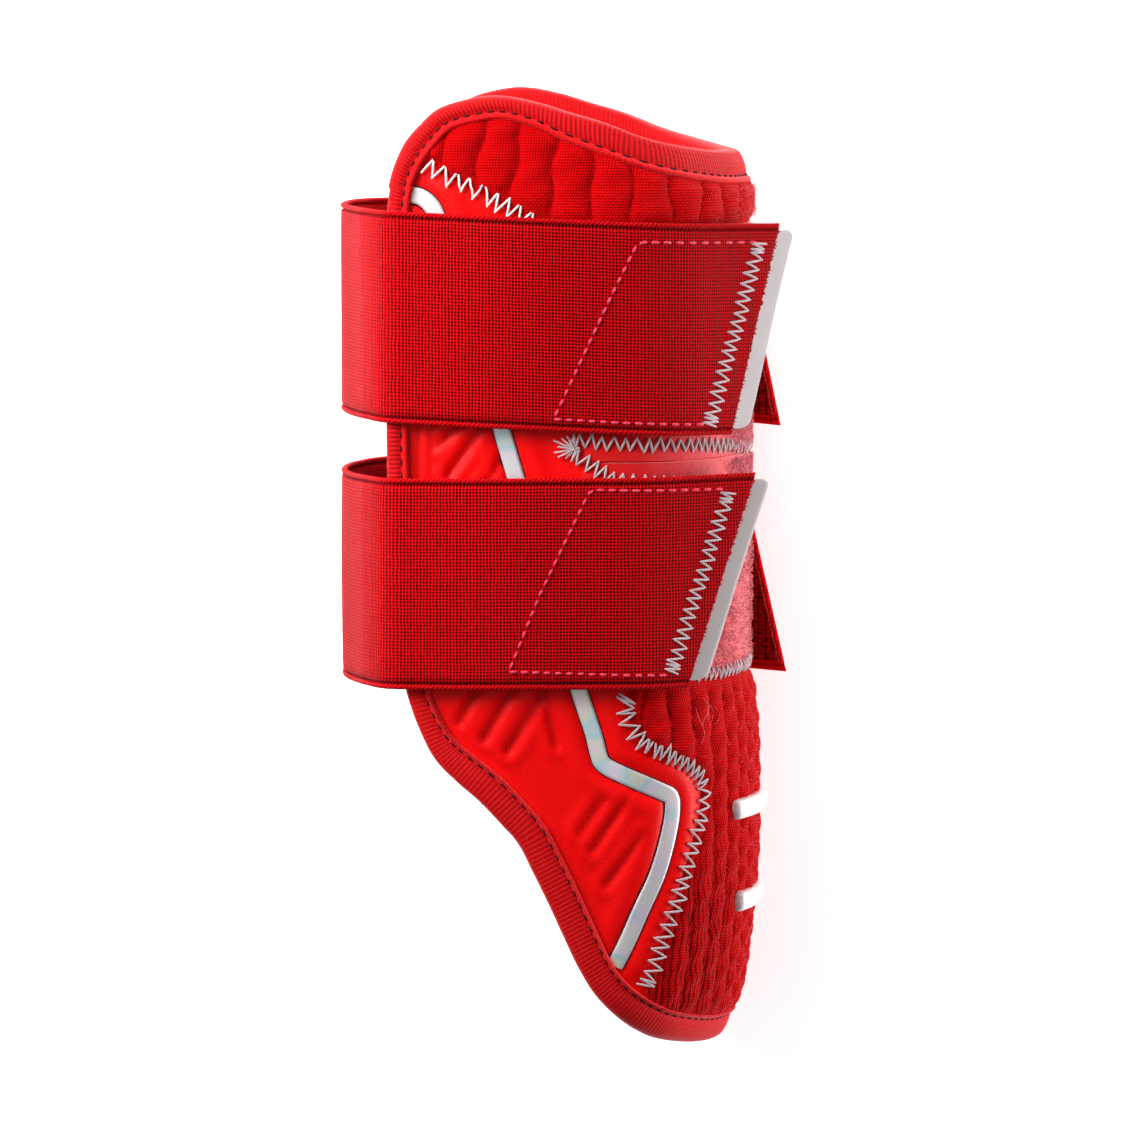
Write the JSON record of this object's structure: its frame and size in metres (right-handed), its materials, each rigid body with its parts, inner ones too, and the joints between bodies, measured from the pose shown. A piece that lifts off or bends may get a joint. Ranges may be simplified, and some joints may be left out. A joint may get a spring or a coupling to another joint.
{
  "type": "baseball elbow guard",
  "caption": "Moulded foam guard that wraps the outer side of a batter's elbow, bound along its edge and closed behind the arm by wide elastic straps.",
  "frame": {"origin": "floor level under the middle of the footprint, with the guard lying on its far wing", "axes": "+Y up the arm from the forearm end to the upper arm end, +X out of the elbow ridge, +Z out of the near wing"},
  "size_m": [0.1114, 0.2316, 0.0972],
  "materials": {
    "smooth_cover": "smooth coated bright red cover",
    "binding_tape": "ribbed red tape",
    "knit": "matt dark red quilted knit",
    "loop_pile": "fuzzy red loop fabric",
    "silver_film": "silver film",
    "raised_bar": "glossy white",
    "elastic": "woven red elastic",
    "satin_tab": "light grey satin",
    "hook_tape": "dark red hook fastener"
  },
  "bodies": {
    "root": {"padded_shell": "smooth_cover", "edge_binding": "binding_tape", "knit_panel_upper": "knit", "knit_panel_lower": "knit", "loop_patch_upper": "loop_pile", "loop_patch_lower": "loop_pile", "stripe_near": "silver_film", "stripe_far": "silver_film", "ridge_bar_upper": "raised_bar", "ridge_bar_lower": "raised_bar", "strap_upper": "elastic", "strap_lower": "elastic", "strap_tab_upper": "satin_tab", "strap_tab_lower": "satin_tab", "hook_patch_near_upper": "hook_tape", "hook_patch_near_lower": "hook_tape", "hook_patch_far_upper": "hook_tape", "hook_patch_far_lower": "hook_tape"}
  },
  "joints": []
}
